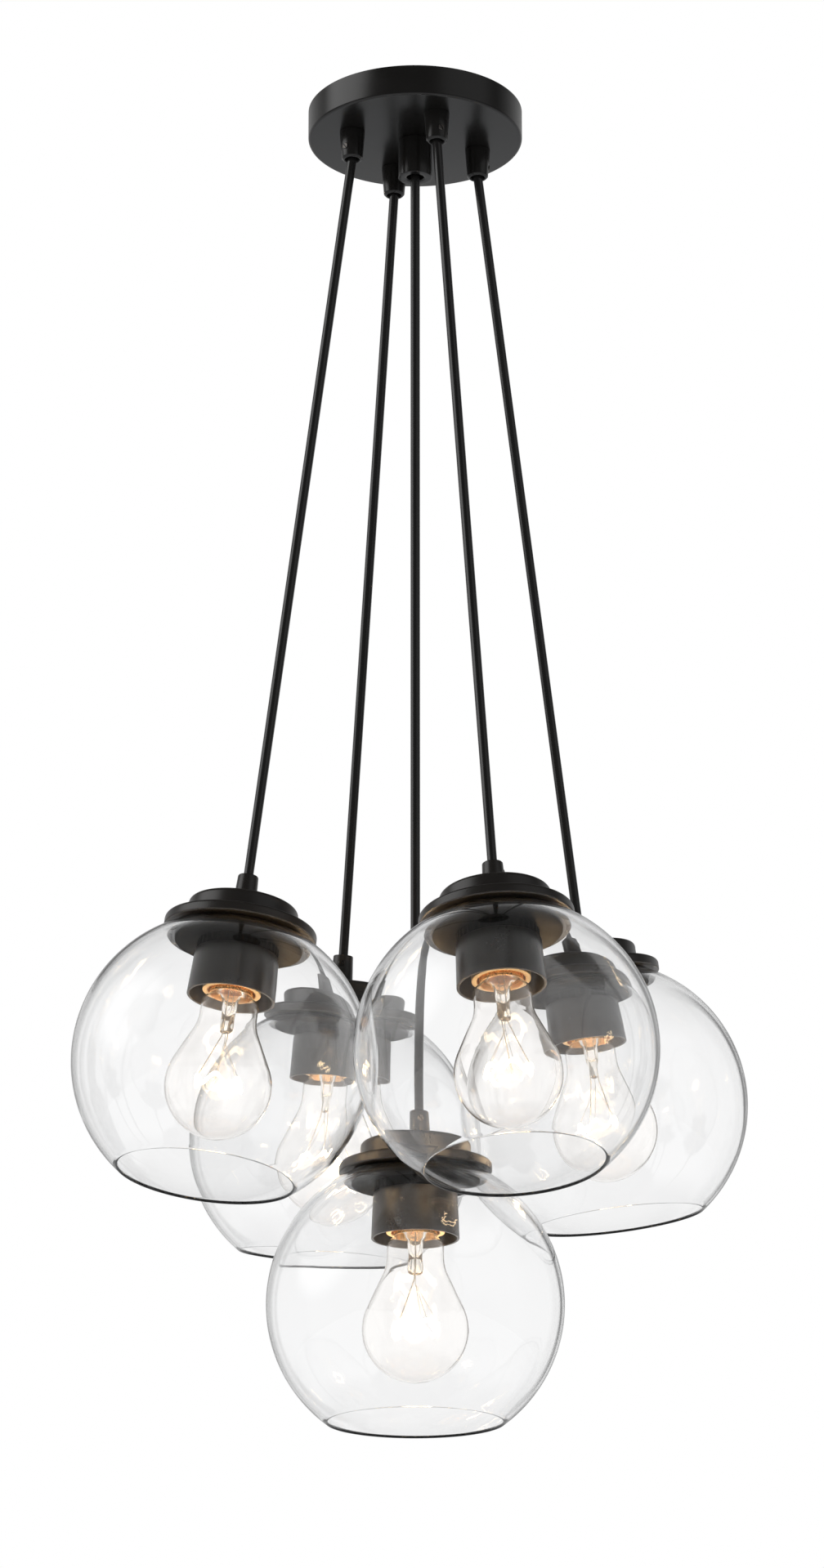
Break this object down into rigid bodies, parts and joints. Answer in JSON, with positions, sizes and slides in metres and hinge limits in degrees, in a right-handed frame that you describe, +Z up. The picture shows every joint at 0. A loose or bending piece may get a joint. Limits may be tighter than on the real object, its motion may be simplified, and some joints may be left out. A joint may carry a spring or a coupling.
{
  "type": "glass pendant light",
  "caption": "Cluster pendant ceiling light: a round black canopy, straight black cords and clear open glass globes with stepped black caps over screw-in bulbs.",
  "frame": {"origin": "centre of the canopy upper rim, on the ceiling plane and midway between the two box screw slots", "axes": "+Z up into the ceiling, +X along the mounting bar to the right of the picture, +Y away from the camera"},
  "size_m": [0.3822, 0.3822, 0.7915],
  "materials": {
    "black_metal": "satin",
    "black_screw": "satin",
    "black_ring": "gloss",
    "black_cord": "satin",
    "zinc_steel": "satin",
    "green_screw": "gloss",
    "cream_ceramic": "satin",
    "clear_glass": "gloss",
    "bulb_glass": "gloss",
    "bulb_metal": "gloss",
    "bulb_insulator": "gloss"
  },
  "bodies": {
    "fixture": {"canopy": "black_metal", "mounting_bar": "zinc_steel", "ground_screw": "green_screw", "center_nipple": "zinc_steel", "nipple_nut": "zinc_steel", "center_collar": "black_metal", "canopy_grips": "black_metal", "canopy_grip_screws": "black_screw", "canopy_grip_nuts": "zinc_steel", "cord_tails": "black_cord", "cord_5": "black_cord"},
    "drop_1": {"cord_1": "black_cord"},
    "pendant_1": {"cord_grip_1": "black_metal", "cap_1": "black_metal", "shade_ring_1": "black_ring", "socket_cup_1": "black_metal", "socket_1": "cream_ceramic", "globe_1": "clear_glass"},
    "bulb_end_1": {"bulb_tip_1": "bulb_insulator"},
    "bulb_1": {"bulb_glass_1": "bulb_glass", "bulb_base_1": "bulb_metal"},
    "drop_2": {"cord_2": "black_cord"},
    "pendant_2": {"cord_grip_2": "black_metal", "cap_2": "black_metal", "shade_ring_2": "black_ring", "socket_cup_2": "black_metal", "socket_2": "cream_ceramic", "globe_2": "clear_glass"},
    "bulb_end_2": {"bulb_tip_2": "bulb_insulator"},
    "bulb_2": {"bulb_glass_2": "bulb_glass", "bulb_base_2": "bulb_metal"},
    "drop_3": {"cord_3": "black_cord"},
    "pendant_3": {"cord_grip_3": "black_metal", "cap_3": "black_metal", "shade_ring_3": "black_ring", "socket_cup_3": "black_metal", "socket_3": "cream_ceramic", "globe_3": "clear_glass"},
    "bulb_end_3": {"bulb_tip_3": "bulb_insulator"},
    "bulb_3": {"bulb_glass_3": "bulb_glass", "bulb_base_3": "bulb_metal"},
    "drop_4": {"cord_4": "black_cord"},
    "pendant_4": {"cord_grip_4": "black_metal", "cap_4": "black_metal", "shade_ring_4": "black_ring", "socket_cup_4": "black_metal", "socket_4": "cream_ceramic", "globe_4": "clear_glass"},
    "bulb_end_4": {"bulb_tip_4": "bulb_insulator"},
    "bulb_4": {"bulb_glass_4": "bulb_glass", "bulb_base_4": "bulb_metal"},
    "pendant_5": {"cord_grip_5": "black_metal", "cap_5": "black_metal", "shade_ring_5": "black_ring", "socket_cup_5": "black_metal", "socket_5": "cream_ceramic", "globe_5": "clear_glass"},
    "bulb_end_5": {"bulb_tip_5": "bulb_insulator"},
    "bulb_5": {"bulb_glass_5": "bulb_glass", "bulb_base_5": "bulb_metal"}
  },
  "joints": [
    {"name": "swing_1", "type": "hinge", "parent": "fixture", "child": "drop_1", "pos_m": [0.0126, -0.03723, -0.0351], "axis": [-0.8857, -0.4643, 0], "range_deg": [0, 20]},
    {"name": "twist_1", "type": "hinge", "parent": "drop_1", "child": "pendant_1", "pos_m": [0.04238, -0.09404, -0.49476], "axis": [-0.0642, 0.1224, 0.9904], "range_deg": [-90, 90], "stiffness_Nm_per_rad": 0.004},
    {"name": "bulb_draw_1", "type": "slide", "parent": "pendant_1", "child": "bulb_end_1", "axis": [0.0642, -0.1224, -0.9904], "range_m": [0, 0.0255]},
    {"name": "bulb_turn_1", "type": "hinge", "parent": "bulb_end_1", "child": "bulb_1", "pos_m": [0.04949, -0.1076, -0.6045], "axis": [0.0642, -0.1224, -0.9904], "range_deg": [0, 2520]},
    {"name": "swing_2", "type": "hinge", "parent": "fixture", "child": "drop_2", "pos_m": [0.03723, 0.0126, -0.0351], "axis": [0.4643, -0.8857, 0], "range_deg": [0, 20]},
    {"name": "twist_2", "type": "hinge", "parent": "drop_2", "child": "pendant_2", "pos_m": [0.09386, 0.04229, -0.48729], "axis": [-0.124, -0.065, 0.9901], "range_deg": [-90, 90], "stiffness_Nm_per_rad": 0.004},
    {"name": "bulb_draw_2", "type": "slide", "parent": "pendant_2", "child": "bulb_end_2", "axis": [0.124, 0.065, -0.9901], "range_m": [0, 0.0255]},
    {"name": "bulb_turn_2", "type": "hinge", "parent": "bulb_end_2", "child": "bulb_2", "pos_m": [0.1076, 0.04949, -0.597], "axis": [0.124, 0.065, -0.9901], "range_deg": [0, 2520]},
    {"name": "swing_3", "type": "hinge", "parent": "fixture", "child": "drop_3", "pos_m": [-0.0126, 0.03723, -0.0351], "axis": [0.8857, 0.4643, 0], "range_deg": [0, 20]},
    {"name": "twist_3", "type": "hinge", "parent": "drop_3", "child": "pendant_3", "pos_m": [-0.04238, 0.09404, -0.49476], "axis": [0.0642, -0.1224, 0.9904], "range_deg": [-90, 90], "stiffness_Nm_per_rad": 0.004},
    {"name": "bulb_draw_3", "type": "slide", "parent": "pendant_3", "child": "bulb_end_3", "axis": [-0.0642, 0.1224, -0.9904], "range_m": [0, 0.0255]},
    {"name": "bulb_turn_3", "type": "hinge", "parent": "bulb_end_3", "child": "bulb_3", "pos_m": [-0.04949, 0.1076, -0.6045], "axis": [-0.0642, 0.1224, -0.9904], "range_deg": [0, 2520]},
    {"name": "swing_4", "type": "hinge", "parent": "fixture", "child": "drop_4", "pos_m": [-0.03723, -0.0126, -0.0351], "axis": [-0.4643, 0.8857, 0], "range_deg": [0, 20]},
    {"name": "twist_4", "type": "hinge", "parent": "drop_4", "child": "pendant_4", "pos_m": [-0.09385, -0.04228, -0.48679], "axis": [0.1241, 0.0651, 0.9901], "range_deg": [-90, 90], "stiffness_Nm_per_rad": 0.004},
    {"name": "bulb_draw_4", "type": "slide", "parent": "pendant_4", "child": "bulb_end_4", "axis": [-0.1241, -0.0651, -0.9901], "range_m": [0, 0.0255]},
    {"name": "bulb_turn_4", "type": "hinge", "parent": "bulb_end_4", "child": "bulb_4", "pos_m": [-0.1076, -0.04949, -0.5965], "axis": [-0.1241, -0.0651, -0.9901], "range_deg": [0, 2520]},
    {"name": "twist_5", "type": "hinge", "parent": "fixture", "child": "pendant_5", "pos_m": [0, 0, -0.6129], "axis": [0, 0, 1], "range_deg": [-90, 90], "stiffness_Nm_per_rad": 0.004},
    {"name": "bulb_draw_5", "type": "slide", "parent": "pendant_5", "child": "bulb_end_5", "axis": [0, 0, -1], "range_m": [0, 0.0255]},
    {"name": "bulb_turn_5", "type": "hinge", "parent": "bulb_end_5", "child": "bulb_5", "pos_m": [0, 0, -0.7237], "axis": [0, 0, -1], "range_deg": [0, 2520]}
  ],
  "couplings": [
    {"joint": "bulb_draw_1", "follows": "bulb_turn_1", "m_per_rad": 0.00057757},
    {"joint": "bulb_draw_2", "follows": "bulb_turn_2", "m_per_rad": 0.00057757},
    {"joint": "bulb_draw_3", "follows": "bulb_turn_3", "m_per_rad": 0.00057757},
    {"joint": "bulb_draw_4", "follows": "bulb_turn_4", "m_per_rad": 0.00057757},
    {"joint": "bulb_draw_5", "follows": "bulb_turn_5", "m_per_rad": 0.00057757}
  ]
}
